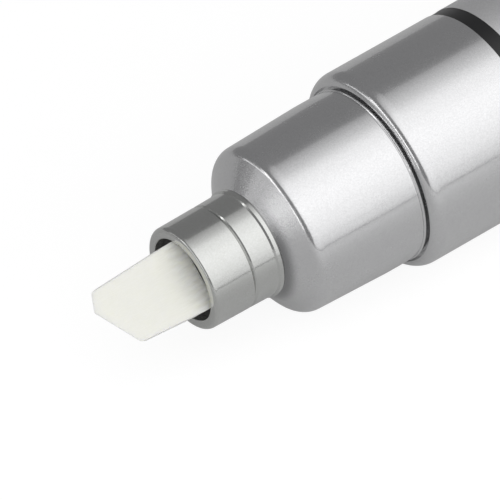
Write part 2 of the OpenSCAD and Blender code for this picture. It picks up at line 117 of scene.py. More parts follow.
def new_material(name):
    """A material, its tree with nothing but an output node, that node, and the Object coordinates."""
    material = bpy.data.materials.new(name)
    material.use_nodes = True
    tree = material.node_tree
    tree.nodes.clear()
    out = add(tree, "ShaderNodeOutputMaterial")
    return material, tree, out, add(tree, "ShaderNodeTexCoord").outputs["Object"]


def shade(tree, share, first, second):
    """Colour that goes from first to second as the share goes from 0 to 1. A colour is hex or a socket."""
    first, second = (linear(c) if isinstance(c, str) else c for c in (first, second))
    return add(tree, "ShaderNodeMix", {"Factor": share, "A": first, "B": second}, data_type="RGBA").outputs[2]


def spread(tree, value, low, high, start=0.0, end=1.0, kind="LINEAR"):
    """Low where the value is at start, high where it is at end, in between by share, never beyond the two."""
    return add(tree, "ShaderNodeMapRange", {"Value": value, "From Min": start, "From Max": end, "To Min": low,
                                            "To Max": high}, interpolation_type=kind).outputs[0]


def ramp(tree, share, stops):
    """Colour by share: each stop is a place from 0 to 1 and a linear colour, with a blend in between."""
    node = add(tree, "ShaderNodeValToRGB", {"Fac": share})
    elements = node.color_ramp.elements
    elements.remove(elements[1])
    for i, (place, colour) in enumerate(stops):
        stop = elements[0] if i == 0 else elements.new(place)
        stop.position, stop.color = place, colour
    return node.outputs[0]


def per_mm(size):
    """Scale of a texture whose cells are this many millimetres wide, on coordinates in metres."""
    return 1.0 / (size * MM)


print("mid grey in linear:", [round(c, 3) for c in linear("#808080")])

# %% [markdown]
# ## The table and the room
# The table is white. A lit white surface alone would come out pale grey round the marker, so the
# camera sees mostly a steady white, for the table as for the room behind it, and what is left of the lit
# part keeps the soft shadow. A small share of that white goes to the reflections too. The rest of the room
# is dim, which gives the dark bands in the silver. The table's lit colour is painted paler in front of the
# marker and greyer behind it: painted shade that stands in for the marker's shadow behind it and for the
# light falling off away from the lamp in front. The table ends two hands behind the marker, before the dim
# room. The paint shows both: a grey that deepens towards the rear, and the line where the table ends.

# %% Floor and room
MIRRORED_SHARE, TABLE_SHARE, ROOM_SHARE = 0.1, 0.68, 1.0
FLOOR_SIDE, FLOOR_BACK = 4.0, 0.21
# Lit colour of the table top by depth in metres: painted shade, greyer towards the back behind the marker.
SHEET_WITH_PAINTED_SHADE = [(-0.3, "#e4e4e4"), (-0.1, "#d0d0d0"), (-0.04, "#c2c2c2"), (0.008, "#bebebe"), (0.041, "#b0b0b0")]


def seen_share(tree, to_camera):
    """Share of steady white: to_camera for camera rays, MIRRORED_SHARE for mirrored and refracted ones."""
    paths = add(tree, "ShaderNodeLightPath")
    mirrored = add(tree, "ShaderNodeMath", {0: paths.outputs["Is Glossy Ray"],
                                            1: paths.outputs["Is Transmission Ray"]}, operation="MAXIMUM")
    mirrored = add(tree, "ShaderNodeMath", {0: mirrored.outputs[0], 1: MIRRORED_SHARE}, operation="MULTIPLY")
    return add(tree, "ShaderNodeMath", {0: paths.outputs["Is Camera Ray"], 1: to_camera,
                                        2: mirrored.outputs[0]}, operation="MULTIPLY_ADD").outputs[0]


floor_material, tree, out, coords = new_material("white table top")
depth = add(tree, "ShaderNodeSeparateXYZ", {"Vector": coords}).outputs["Y"]
front, rear = SHEET_WITH_PAINTED_SHADE[0][0], SHEET_WITH_PAINTED_SHADE[-1][0]
# Painted shade: the lit colour greys from the front of the table to behind the marker.
paper = ramp(tree, spread(tree, depth, 0.0, 1.0, front, rear),
             [((place - front) / (rear - front), linear(colour)) for place, colour in SHEET_WITH_PAINTED_SHADE])
lit = add(tree, "ShaderNodeBsdfDiffuse", {"Color": paper})
steady = add(tree, "ShaderNodeEmission", {"Color": (1, 1, 1, 1), "Strength": 1.31})
share = seen_share(tree, TABLE_SHARE)
mix = add(tree, "ShaderNodeMixShader", {0: share, 1: lit.outputs[0], 2: steady.outputs[0]})
tree.links.new(mix.outputs[0], out.inputs["Surface"])

floor_mesh = bpy.data.meshes.new("floor")
floor_mesh.from_pydata([(-FLOOR_SIDE, -FLOOR_SIDE, 0), (FLOOR_SIDE, -FLOOR_SIDE, 0),
                        (FLOOR_SIDE, FLOOR_BACK, 0), (-FLOOR_SIDE, FLOOR_BACK, 0)], [], [(0, 1, 2, 3)])
floor_mesh.materials.append(floor_material)
floor = bpy.data.objects.new("floor", floor_mesh)
bpy.context.scene.collection.objects.link(floor)

room = bpy.data.worlds.new("room")
room.use_nodes = True
tree = room.node_tree
tree.nodes.clear()
dim = add(tree, "ShaderNodeBackground", {"Color": linear("#707071"), "Strength": 1.0})
bright = add(tree, "ShaderNodeBackground", {"Color": (1, 1, 1, 1), "Strength": 1.0})
share = seen_share(tree, ROOM_SHARE)
mix = add(tree, "ShaderNodeMixShader", {0: share, 1: dim.outputs[0], 2: bright.outputs[0]})
add(tree, "ShaderNodeOutputWorld", {"Surface": mix.outputs[0]})
bpy.context.scene.world = room
print("table ends behind the marker, in mm:", FLOOR_BACK * 1000)

# %% [markdown]
# ## The lights
# A large softbox hangs above and in front, parallel to the marker. Its cloth glows most in the middle and
# fades towards its edges, so the silver goes from bright to dark without a hard line. A low strip lights
# the front from just above the table, and the gap that it leaves there is the dark hairline along the
# barrel. A tilted board at the nib's side gives the rims their thin bright crest, and a slat behind it
# carries that crest round to the far side. We could use plain area lights, whose glow is even. A ramp over
# each lamp's height is closer to a real softbox.

# %% Softboxes
def softbox(name, centre, across, width, height, glow):
    """Rectangle that faces the marker, with its width along across. Its glow is a list of (height, radiance),
    with heights as shares from its far edge to its near one. Power is radiance x pi x area."""
    peak = max(radiance for _, radiance in glow)
    x = Vector(across).normalized()
    z = Vector(centre) - Vector(centre).dot(x) * x
    z.normalize()
    y = z.cross(x)
    middle = Vector(TARGET.tolist()) + Vector(centre)
    lamp = bpy.data.lights.new(name, "AREA")
    lamp.shape = "RECTANGLE"
    lamp.size, lamp.size_y = width, height
    lamp.energy = peak * np.pi * width * height
    lamp.use_nodes = True
    tree = lamp.node_tree
    tree.nodes.clear()
    spot_seen = add(tree, "ShaderNodeNewGeometry").outputs["Position"]
    offset = add(tree, "ShaderNodeVectorMath", {0: spot_seen, 1: middle}, operation="SUBTRACT")
    rise = add(tree, "ShaderNodeVectorMath", {0: offset.outputs[0], 1: y / height}, operation="DOT_PRODUCT")
    share = add(tree, "ShaderNodeMath", {0: rise.outputs["Value"], 1: 0.5}, operation="ADD")
    cloth = ramp(tree, share.outputs[0], [(place, (*[radiance / peak] * 3, 1)) for place, radiance in glow])
    glowing = add(tree, "ShaderNodeEmission", {"Color": cloth, "Strength": 1.0})
    add(tree, "ShaderNodeOutputLight", {"Surface": glowing.outputs[0]})
    box = bpy.data.objects.new(name, lamp)
    box.matrix_world = Matrix.Translation(middle) @ Matrix([[x[i], y[i], z[i]] for i in range(3)]).to_4x4()
    box.visible_camera = False
    bpy.context.scene.collection.objects.link(box)
    print(name, "at", [round(c, 2) for c in box.location])


def round_the_axis(angle, distance, along=0.0):
    """Place at this angle round the marker, in degrees from straight above and towards the back."""
    return along, distance * np.sin(np.radians(angle)), distance * np.cos(np.radians(angle))


def at_the_side(name, azimuth, elevation, tilt, width, height, glow):
    """Softbox on the nib's side. Its azimuth is measured from straight ahead of the nib towards the back, its
    elevation from the table up, and it is turned by tilt about its middle, all in degrees."""
    azimuth, elevation, tilt = np.radians([azimuth, elevation, tilt])
    ahead, level = np.array([[-np.cos(azimuth), np.sin(azimuth), 0], [np.sin(azimuth), np.cos(azimuth), 0]])
    towards = np.cos(elevation) * ahead + np.array([0, 0, np.sin(elevation)])
    steep = np.cross(towards, level)
    softbox(name, SIDE_AT * towards, np.sin(tilt) * steep - np.cos(tilt) * level, width, height, glow)


SIDE_AT = 1.5
MAIN_ANGLE, MAIN_AT, MAIN_HEIGHT = -22.0, 1.2, 3.36
LIGHT = 0.94
# Angles round the marker and the radiance that the paint shows there, before the general level
main_glow = np.array([
    (-76, 0.99), (-68, 1.11), (-60, 1.19), (-52, 1.28), (-44, 1.34), (-36, 1.39), (-28, 1.4), (-20, 1.37),
    (-12, 1.28), (-5, 1.23), (-2, 1.21), (1.5, 1.14), (5.5, 1.02), (9.5, 0.85), (13.5, 0.7), (17.5, 0.61),
    (21.5, 0.52), (25.5, 0.42), (29.5, 0.33), (33.5, 0.29)])
share = 0.5 + np.tan(np.radians(main_glow[:, 0] - MAIN_ANGLE)) * MAIN_AT / MAIN_HEIGHT
softbox("softbox above", round_the_axis(MAIN_ANGLE, MAIN_AT, 0.12), (1, 0, 0), 3.1, MAIN_HEIGHT,
        list(zip(share.tolist(), (main_glow[:, 1] * LIGHT).tolist())))
softbox("strip in front", round_the_axis(-82.4, SIDE_AT), (1, 0, 0), 2.4, 0.295,
        [(0, 0.78 * LIGHT), (1, 0.94 * LIGHT)])
at_the_side("board at the nib's side", 12, 7, 20, 1.73, 0.64, [
    (0, 0.3), (0.35, 0.33), (0.7, 0.4), (0.74, 0.6), (0.78, 3.2), (0.9, 3.2), (0.94, 0.6), (1, 0.25)])
at_the_side("slat behind the board", 45, 9, -31, 0.9, 0.1, [(0, 0.6), (0.3, 1.6), (0.7, 1.6), (1, 0.6)])

# %% [markdown]
# ## The felt
# The nib is pressed polyester felt: fine fibres that run along it, set in resin and then ground to shape.
# It scatters light like paper, with no gloss, and light travels a millimetre or two through it, which keeps
# its edges pale. Near the holder its white is painted paler and a little warmer: painted light that offsets
# the shade that the holder casts on the felt. We use stretched noise for the fibres and a fine bump for the
# ground surface.

# %% Felt
MIDDLE = 89.515
AXIS_Z = 20.0
# Painted light near the holder: within the first reach the felt is painted paler and warmer, fading out by
# the second.
ROOT_AT, PAINTED_LIGHT_REACH, PAINTED_LIGHT_END = 10.0, 11.0, 18.0


def spot(station, across=0.0, height=0.0):
    """Point in metres of a station along the marker, in millimetres from the nib holder's lip."""
    return ((station - MIDDLE) * MM, across * MM, (AXIS_Z + height) * MM)


felt, tree, out, coords = new_material("pressed polyester felt, ground")
along = add(tree, "ShaderNodeMapping", {"Vector": coords, "Scale": (per_mm(2.2), per_mm(0.16), per_mm(0.16))})
fibre = add(tree, "ShaderNodeTexNoise", {"Vector": along.outputs[0], "Scale": 1.0, "Detail": 3.0,
                                         "Roughness": 0.6})
grain = add(tree, "ShaderNodeTexNoise", {"Vector": coords, "Scale": per_mm(0.22), "Detail": 4.0,
                                         "Roughness": 0.7})
from_root = add(tree, "ShaderNodeVectorMath", {0: coords, 1: spot(ROOT_AT)}, operation="DISTANCE")
painted_light_fade = spread(tree, from_root.outputs["Value"], 0.0, 1.0, PAINTED_LIGHT_REACH * MM, PAINTED_LIGHT_END * MM)
# Painted light: paler, warmer white near the holder, against the holder's shade on the felt.
painted_light_tint = shade(tree, painted_light_fade, "#fdfdf3", "#f1f1eb")
colour = shade(tree, spread(tree, fibre.outputs[0], 0.0, 0.35, 0.3, 0.7), painted_light_tint, "#e7e7db")
fine = add(tree, "ShaderNodeBump", {"Height": grain.outputs[0], "Strength": 0.25, "Distance": 0.05 * MM})
rows = add(tree, "ShaderNodeBump", {"Height": fibre.outputs[0], "Strength": 0.3, "Distance": 0.06 * MM,
                                    "Normal": fine.outputs[0]})
skin = add(tree, "ShaderNodeBsdfPrincipled", {
    "Base Color": colour, "Roughness": 0.92, "Specular IOR Level": 0.25, "Sheen Weight": 0.5,
    "Subsurface Weight": 0.8, "Subsurface Scale": 1.5 * MM, "Subsurface Radius": (1.0, 1.0, 0.9),
    "Normal": rows.outputs[0]})
tree.links.new(skin.outputs[0], out.inputs["Surface"])
print(felt.name)

# %% [markdown]
# ## The silver paint
# Holder, step, shell and cap are moulded ABS with a sprayed silver base coat under a thin clear coat. The
# aluminium flakes lie nearly flat, so the paint mirrors the softbox as a wide soft stripe, and the clear
# coat adds a sharper, weaker mirror of the same room, which draws the hairlines. One flake in four lies more
# loosely and scatters wider: that is the fine sparkle. Real flakes are about 0.02 mm; cells of 0.2 mm are
# drawn instead, the finest that the picture can show. In the step's inner corner a dark shade is painted
# into the colour, strongest on the near side: painted shade where the collar shades the corner.

# %% Silver paint
FAR_SIDE = (0, 0.806, 0.592)
# The step's painted corner shade: where it starts, how far behind it reaches, its fade towards the far side,
# its colour and strength.
CORNER_AT, CORNER_DEPTH, CORNER_FADE, PAINTED_CORNER_SHADE, CORNER_SHARE = 15.5, 1.9, (-2, 7), "#4c4d4e", 0.75


def painted_corner_shade_share(tree, coords, station):
    """How much of the painted corner shade shows: CORNER_SHARE at the station, on the near side. It falls to
    none over CORNER_DEPTH behind the station, and over CORNER_FADE from the axis towards FAR_SIDE."""
    behind = add(tree, "ShaderNodeVectorMath", {0: coords, 1: (1, 0, 0)}, operation="DOT_PRODUCT")
    depth = spread(tree, behind.outputs["Value"], 1.0, 0.0, spot(station)[0], spot(station + CORNER_DEPTH)[0],
                   "SMOOTHERSTEP")
    aside = add(tree, "ShaderNodeVectorMath", {0: coords, 1: FAR_SIDE}, operation="DOT_PRODUCT")
    middle = AXIS_Z * MM * FAR_SIDE[2]
    near = spread(tree, aside.outputs["Value"], CORNER_SHARE, 0.0, middle + CORNER_FADE[0] * MM,
                  middle + CORNER_FADE[1] * MM)
    return add(tree, "ShaderNodeMath", {0: depth, 1: near}, operation="MULTIPLY").outputs[0]


def silver_paint(name, darker, lighter, roughness, sparkle, corner=None):
    """Base coat of flakes between two shades, under a clear coat. Roughness is the base coat's, and sparkle
    what the loosest flakes add to it. A corner is a station behind which a dark shade is painted into the
    colour: painted shade in the corner."""
    material, tree, out, coords = new_material(name)
    flakes = add(tree, "ShaderNodeTexVoronoi", {"Vector": coords, "Scale": per_mm(0.2)})
    flake = add(tree, "ShaderNodeSeparateColor", {"Color": flakes.outputs["Color"]})
    cloud = add(tree, "ShaderNodeTexNoise", {"Vector": coords, "Scale": per_mm(6.0), "Detail": 2.0})
    colour = shade(tree, flake.outputs[0], darker, lighter)
    # Painted shade: behind the corner station a dark colour is blended in, strongest on the near side.
    if corner is not None:
        colour = shade(tree, painted_corner_shade_share(tree, coords, corner), colour, PAINTED_CORNER_SHADE)
    gloss = spread(tree, cloud.outputs[0], roughness - 0.02, roughness + 0.02, 0.3, 0.7)
    loose = spread(tree, flake.outputs[1], 0.0, sparkle, 0.75, 1.0)
    gloss = add(tree, "ShaderNodeMath", {0: gloss, 1: loose}, operation="ADD")
    skin = add(tree, "ShaderNodeBsdfPrincipled", {"Base Color": colour, "Metallic": 0.95,
                                                  "Roughness": gloss.outputs[0], "Coat Weight": 0.8,
                                                  "Coat IOR": 1.85, "Coat Roughness": 0.04})
    tree.links.new(skin.outputs[0], out.inputs["Surface"])
    return material


SHELL_PAINT = ("#c5c5c6", "#cececf", 0.2, 0.07)
# The collar's paint is darker and glossier than the shell's; its slight warm tint is a painted reflection of
# the felt beside it.
COLLAR_PAINT = ("#b7b8b5", "#bebfbd", 0.17, 0.02)
silver = silver_paint("silver paint on ABS, sprayed and clear coated", *SHELL_PAINT)
collar_silver = silver_paint("silver paint on the collar, glossier and darker", *COLLAR_PAINT)
step_silver = silver_paint("silver paint on the step, with painted shade in its corner", *SHELL_PAINT, corner=CORNER_AT)
print([m.name for m in (silver, collar_silver, step_silver)])

# %% [markdown]
# ## The label film
# The barrel wears a bare film of polypropylene printed with silver ink. The ink has no clear coat and its
# flakes lie more loosely, so the film is lighter and more matt than the paint beside it.

# %% Silver film
film, tree, out, coords = new_material("silver printed film, matt")
speck = add(tree, "ShaderNodeTexVoronoi", {"Vector": coords, "Scale": per_mm(0.16)})
speck_tone = add(tree, "ShaderNodeSeparateColor", {"Color": speck.outputs["Color"]})
colour = shade(tree, speck_tone.outputs[0], "#d4d4d5", "#dfdfe0")
tilt = add(tree, "ShaderNodeBump", {"Height": speck_tone.outputs[1], "Strength": 0.15, "Distance": 0.02 * MM})
skin = add(tree, "ShaderNodeBsdfPrincipled", {"Base Color": colour, "Metallic": 0.85, "Roughness": 0.5,
                                              "Normal": tilt.outputs[0]})
tree.links.new(skin.outputs[0], out.inputs["Surface"])
print(film.name)

# %% [markdown]
# ## The moulded plastics and the rubber
# The barrel, guide and tail plug are black polypropylene, moulded satin: a faint mottle in the gloss and a
# very low bump, as from a blasted mould. The valve parts, the inner cap and the end disc are natural white
# polypropylene, softer in its shine. Gaskets are black nitrile rubber, matt, with a dusty bloom.

# %% Plastics and rubber
def mottled(name, cell, detail, darker, lighter, gloss=None, bump=None, **surface):
    """Noise with cells this many millimetres wide blends two shades. Gloss is the lowest and the highest
    roughness that it spreads, bump a strength and a height in millimetres, and surface the other inputs."""
    material, tree, out, coords = new_material(name)
    noise = add(tree, "ShaderNodeTexNoise", {"Vector": coords, "Scale": per_mm(cell), "Detail": detail})
    noise = noise.outputs[0]
    surface = {"Base Color": shade(tree, noise, darker, lighter), **surface}
    if gloss:
        surface["Roughness"] = spread(tree, noise, *gloss)
    if bump:
        surface["Normal"] = add(tree, "ShaderNodeBump", {"Height": noise, "Strength": bump[0],
                                                         "Distance": bump[1] * MM}).outputs[0]
    skin = add(tree, "ShaderNodeBsdfPrincipled", surface)
    tree.links.new(skin.outputs[0], out.inputs["Surface"])
    return material


black = mottled("black polypropylene, moulded satin", 0.35, 3.0, "#131314", "#1b1b1c",
                gloss=(0.3, 0.42), bump=(0.15, 0.02), IOR=1.49)
white = mottled("natural white polypropylene, moulded", 3.0, 3.0, "#e0e1dd", "#eaebe8",
                gloss=(0.34, 0.46), IOR=1.49)
rubber = mottled("black nitrile rubber, moulded", 0.8, 4.0, "#232324", "#343435",
                 bump=(0.2, 0.03), Roughness=0.75)
print([m.name for m in (black, white, rubber)])

# %% [markdown]
# ## The steels
# The valve's spring is drawn stainless wire, with faint lines from the die. The mixing balls are bearing
# steel, ground and polished, which mirror sharply with a slight haze.

# %% Wire and ball steel
wire = mottled("drawn stainless wire", 0.25, 2.0, "#a9acb0", "#c4c7ca", gloss=(0.2, 0.34), Metallic=1.0)
ball_steel = mottled("bearing steel, polished", 1.5, 4.0, "#c2c5c8", "#d0d2d5",
                     gloss=(0.06, 0.14), Metallic=1.0)
print(wire.name, "and", ball_steel.name)

# %% [markdown]
# ## The inner pieces
# The valve without its spring, the gaskets, the balls and the dark guide in the holder's bore have CAD
# shapes that are already right. They keep them and only get the finishes above, so that a cut-away shows
# real pieces.

# %% Finishes of the inner pieces
inner = {
    "nib_guide": black, "nib_carrier": white, "valve_stem": white, "valve_body": white,
    "spring_retainer": white, "valve_seal": rubber, "neck_gasket": rubber, "tail_seal": rubber,
    "cap_seal": rubber, "mixing_ball_left": ball_steel, "mixing_ball_right": ball_steel,
}
for name, material in inner.items():
    for slot in nodes[name].material_slots:
        slot.material = material
print("inner pieces finished:", len(inner))

# %% [markdown]
# ## Turned pieces
# Everything round on the marker is turned in its mould: one outline, spun about the axis. CAD gives these
# pieces as short straight facets, which would show in a semi-gloss surface. So each is spun again here with
# 192 steps, from an outline whose corners are rounded as a mould leaves them. A corner is given as radius,
# station and rounding, all in millimetres.

# %% Spinning an outline
STEPS_AROUND = 192
ARC_STEP, SHARP_ANGLE = np.radians([7.5, 32])
GUARD = 0.02


def rounded(corners, closed=True):
    """Outline with its corners rounded: each arc touches both sides at rounding / tan(half angle) from the
    corner. A guard point just outside each end of an arc keeps the shading of long straight sides flat."""
    points = np.array([c[:2] for c in corners], float)
    line = []
    for i, (p, r) in enumerate(zip(points, [c[2] for c in corners])):
        ends = not closed and i in (0, len(points) - 1)
        if r <= 0 or ends:
            line.append(p[None])
            continue
        a = points[i - 1] - p
        b = points[(i + 1) % len(points)] - p
        a, b = a / np.linalg.norm(a), b / np.linalg.norm(b)
        half = np.arccos(np.clip(a @ b, -1, 1)) / 2
        centre = p + (a + b) / np.linalg.norm(a + b) * r / np.sin(half)
        first, last = p + a * r / np.tan(half) - centre, p + b * r / np.tan(half) - centre
        start = np.arctan2(first[1], first[0])
        sweep = (np.arctan2(last[1], last[0]) - start + np.pi) % (2 * np.pi) - np.pi
        t = start + sweep * np.linspace(0, 1, max(3, int(np.ceil(abs(sweep) / ARC_STEP)) + 1))
        line.append((p + a * (r / np.tan(half) + GUARD))[None])
        line.append(centre + r * np.column_stack([np.cos(t), np.sin(t)]))
        line.append((p + b * (r / np.tan(half) + GUARD))[None])
    return np.concatenate(line)


def piece(name, points, faces, material, body, stands_for):
    """A finished object from points in metres and faces, which rides on a body and stands for CAD nodes."""
    mesh = bpy.data.meshes.new(name)
    mesh.from_pydata(points.tolist(), [], faces)
    corners = np.array([(f[0], f[k], f[k + 1]) for f in faces for k in range(1, len(f) - 1)])
    a, b, c = (points[corners[:, k]] for k in range(3))
    if np.einsum("ij,ij->i", a, np.cross(b, c)).sum() < 0:
        mesh.flip_normals()
    mesh.shade_smooth()
    mesh.set_sharp_from_angle(angle=SHARP_ANGLE)
    mesh.materials.append(material)
    obj = bpy.data.objects.new(name, mesh)
    bpy.context.scene.collection.objects.link(obj)
    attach(obj, body)
    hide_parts(*stands_for)
    print(name, len(corners), "triangles")
    return obj


def turned(name, corners, material, body, slot_name, *stands_for):
    """Spins an outline about the marker's axis: y = r cos(angle), z = axis + r sin(angle), x from the
    station. An outline that touches the axis runs from pole to pole, and each pole is one shared point."""
    line = rounded(corners)
    poles = np.where(line[:, 0] < 1e-9)[0]
    if len(poles):
        line = np.roll(line, -poles[-1] if poles[0] == 0 and poles[-1] != 1 else -poles[1], axis=0)
    r, x = line[:, 0] * MM, (line[:, 1] - MIDDLE) * MM
    angle = np.linspace(0, 2 * np.pi, STEPS_AROUND, endpoint=False)
    grid = np.stack([np.broadcast_to(x[:, None], (len(r), STEPS_AROUND)), r[:, None] * np.cos(angle),
                     AXIS_Z * MM + r[:, None] * np.sin(angle)], axis=-1)
    n = len(r)
    index = np.arange(n * STEPS_AROUND).reshape(n, STEPS_AROUND)
    if len(poles):
        index[0], index[-1] = 0, index[-1, 0]
    rows = range(n - 1) if len(poles) else range(n)
    quads = np.concatenate([np.stack([index[i], index[(i + 1) % n], np.roll(index[(i + 1) % n], -1),
                                      np.roll(index[i], -1)], axis=-1) for i in rows])
    faces = [list(dict.fromkeys(q)) for q in quads.tolist()]
    used, fresh = np.unique([v for f in faces for v in f], return_inverse=True)
    ends = np.cumsum([len(f) for f in faces])
    faces = [part.tolist() for part in np.split(fresh, ends[:-1])]
    return piece(name, grid.reshape(-1, 3)[used], faces, material, body, stands_for)


print("steps round the axis:", STEPS_AROUND)

# %% [markdown]
# ## The measures
# These are the marker's own stations and radii, in millimetres, as the CAD has them. Station 0 is the lip
# of the nib holder, and stations grow towards the tail.

# %% Stations and radii
BORE_R, LIP_R, GROOVE_R, BASE_R, BEAD_R, FACE_FOOT_R = 8.372, 10.422, 10.522, 10.622, 10.972, 10.822
SPIGOT_R, CARRIER_ROOM_R, BOSS_BORE_R, BOSS_R = 10.172, 9.122, 10.222, 12.022
RIM_R, SEAT_R, STOP_R, RING_R, BODY_R = 16.95, 17.5, 17.7, 18.1, 20.0
FRONT_SPIGOT_R, NECK_R, THROAT_R, BARREL_R, RESERVOIR_R = 16.6, 17.2, 15.2, 19.88, 18.08
FILM_R, FILM_OUT_R, TAIL_R, MOUTH_R, DEEP_R = 19.905, 19.985, 17.35, 17.75, 17.35
PLUG_BORE_R, PLUG_SEAL_R, LINER_R, CAP_SEAL_R, LINER_OUT_R = 15.0, 16.78, 10.922, 11.772, 12.622
GROOVE_AT, GROOVE_FLOOR_AT, GROOVE_END, GROOVE_DEPTH, BEAD_AT = 8.74, 8.94, 9.5, 0.58, 14.15
CUP_AT, FACE_AT, RIM_AT, HOLDER_END, BOSS_END = 14.37, 15.5, 19.8, 24.5, 33.5
STOP_AT, SHELL_AT, STEP_END, FLANGE_AT, NECK_AT = 42.9, 43.6, 44.6, 50.0, 52.5
BARREL_AT, RESERVOIR_AT, SHOULDER_LEN, LABEL_AT, LABEL_END = 69.6, 71.4, 2.6, 72.7, 124.0
PLUG_AT, SEAL_AT, SEAL_END, BARREL_END, TAIL_AT, TAIL_END = 119.0, 120.2, 121.5, 127.0, 129.5, 142.0
CAP_AT, LINER_AT, LINER_END, CAP_END = 129.53, 160.13, 196.53, 198.53
SEAT_LEN, FACE_STEP, STOP_DEPTH, RIM_RISE, STEP_WALL, STUB_WALL = 6.0, 0.4, 0.45, 0.63, 1.9, 1.8
DISC_T, DISC_LEDGE, LINER_TOP, CAP_SEAL_DEPTH, GAP = 1.5, 0.8, 1.3, 2.6, 0.05
print("from the lip to the cap's end, in mm:", CAP_END)

# %% [markdown]
# ## The nib holder
# This collar is the part that carries the felt. Its lip is rounded, so that it doesn't scratch the cap's
# seal. A fine groove runs round it, whose rear wall leans at 45 degrees and mirrors the dim room, so it reads
# as a dark line. A bead closes the gap to the stepped section. On the real marker the collar is moulded
# separately and snapped in, so here it is a separate turned piece.

# %% Nib holder
turned("collar", [
    (BORE_R, 0, 0.3), (LIP_R, 0, 0.95), (GROOVE_R, GROOVE_AT, 0.04),
    (GROOVE_R - GROOVE_DEPTH, GROOVE_FLOOR_AT, 0.04), (GROOVE_R, GROOVE_END, 0.2), (BASE_R, BEAD_AT, 0.03),
    (BEAD_R, BEAD_AT + 0.34, 0.12), (BEAD_R, FACE_AT - 0.3, 0.1), (BEAD_R - 0.15, FACE_AT, 0),
    (SPIGOT_R, FACE_AT, 0), (SPIGOT_R, HOLDER_END, 0), (CARRIER_ROOM_R, HOLDER_END, 0),
    (CARRIER_ROOM_R, CUP_AT, 0), (BORE_R, CUP_AT, 0),
], collar_silver, "marker", "silver_plastic", "nib_holder")

# %% [markdown]
# ## The stepped section and the shell
# The cap slides onto the step. Its front is a cone with a soft rim, its side swells slightly to the seat,
# and a stop bead ends the seat just in front of the shell. The shell is the first piece of full diameter.
# An open ring between them lets the cap's mouth settle, and it reads as a fine dark line.

# %% Stepped section and shell
turned("step", [
    (BOSS_BORE_R, FACE_AT + FACE_STEP, 0), (FACE_FOOT_R, FACE_AT + FACE_STEP, 0), (FACE_FOOT_R, FACE_AT, 0),
    (RIM_R, RIM_AT, 2.8), (SEAT_R, STOP_AT - SEAT_LEN, 0), (SEAT_R, STOP_AT - 0.35, 0.1),
    (SEAT_R - 0.1, STOP_AT - 0.1, 0.08), (STOP_R, STOP_AT + 0.15, 0.1),
    (STOP_R - STOP_DEPTH, STOP_AT + 0.5, 0.1), (STOP_R - STOP_DEPTH, STEP_END, 0),
    (FRONT_SPIGOT_R, STEP_END, 0), (FRONT_SPIGOT_R, FLANGE_AT, 0), (FRONT_SPIGOT_R - STEP_WALL, FLANGE_AT, 0),
    (RIM_R - STEP_WALL, RIM_AT + STEP_WALL, 1.9), (BOSS_R, RIM_AT, 0.3), (BOSS_R, BOSS_END, 0),
    (BOSS_BORE_R, BOSS_END, 0),
], step_silver, "marker", "silver_plastic", "front_section")
turned("shell", [
    (RING_R, SHELL_AT, 0), (BODY_R, SHELL_AT + RIM_RISE, 2.72), (BODY_R, BARREL_AT, 0.05),
    (NECK_R + GAP, BARREL_AT, 0), (NECK_R + GAP, FLANGE_AT, 0), (FRONT_SPIGOT_R + GAP, FLANGE_AT, 0),
    (FRONT_SPIGOT_R + GAP, STEP_END, 0), (RING_R, STEP_END, 0),
], silver, "marker", "silver_plastic", "front_shell")

# %% [markdown]
# ## The barrel and its label
# The barrel is blow moulded in black. Three millimetres of it stay bare between the shell and the label and
# show as the black band. The label film is wrapped round the barrel and stands a little proud, so its edge
# catches the light as a hairline.

# %% Barrel and label
turned("reservoir", [
    (THROAT_R, NECK_AT, 0), (NECK_R, NECK_AT, 0), (NECK_R, BARREL_AT, 0), (BARREL_R, BARREL_AT, 0.1),
    (BARREL_R, BARREL_END, 0.1), (RESERVOIR_R, BARREL_END, 0), (RESERVOIR_R, RESERVOIR_AT + SHOULDER_LEN, 0),
    (THROAT_R, RESERVOIR_AT, 0),
], black, "marker", "black_plastic", "barrel")
turned("label", [
    (FILM_R, LABEL_AT, 0), (FILM_OUT_R, LABEL_AT, 0.03), (FILM_OUT_R, LABEL_END, 0.03),
    (FILM_R, LABEL_END, 0),
], film, "marker", "silver_film", "label_sleeve")

# %% [markdown]
# ## The tail and the posted cap
# The photograph shows the marker open and doesn't show its rear. Such a marker has its cap posted on a stub
# at the tail, so the cap is there, in the same silver paint as the shell, over a black plug with a white
# disc in its end. The inner cap, which seals the nib holder, is natural white.

# %% Tail plug, end disc and cap
turned("tail", [
    (0, BARREL_END, 0), (PLUG_BORE_R, BARREL_END, 0), (PLUG_BORE_R, PLUG_AT, 0),
    (RESERVOIR_R - GAP, PLUG_AT, 0.2), (RESERVOIR_R - GAP, SEAL_AT, 0), (PLUG_SEAL_R, SEAL_AT, 0),
    (PLUG_SEAL_R, SEAL_END, 0), (RESERVOIR_R - GAP, SEAL_END, 0), (RESERVOIR_R - GAP, BARREL_END, 0),
    (BARREL_R, BARREL_END, 0.1), (BARREL_R, TAIL_AT, 0.3), (TAIL_R, TAIL_AT, 0), (TAIL_R, TAIL_END, 0.3),
    (TAIL_R - STUB_WALL, TAIL_END, 0), (TAIL_R - STUB_WALL, TAIL_END - DISC_T, 0),
    (TAIL_R - STUB_WALL - DISC_LEDGE, TAIL_END - DISC_T, 0), (TAIL_R - STUB_WALL - DISC_LEDGE, TAIL_AT, 0),
    (0, TAIL_AT, 0),
], black, "marker", "black_plastic", "tail_plug")
turned("colour_disc", [
    (0, TAIL_END - DISC_T, 0), (TAIL_R - STUB_WALL - GAP, TAIL_END - DISC_T, 0),
    (TAIL_R - STUB_WALL - GAP, TAIL_END, 0.3), (0, TAIL_END, 0),
], white, "marker", "white_plastic", "end_disc")
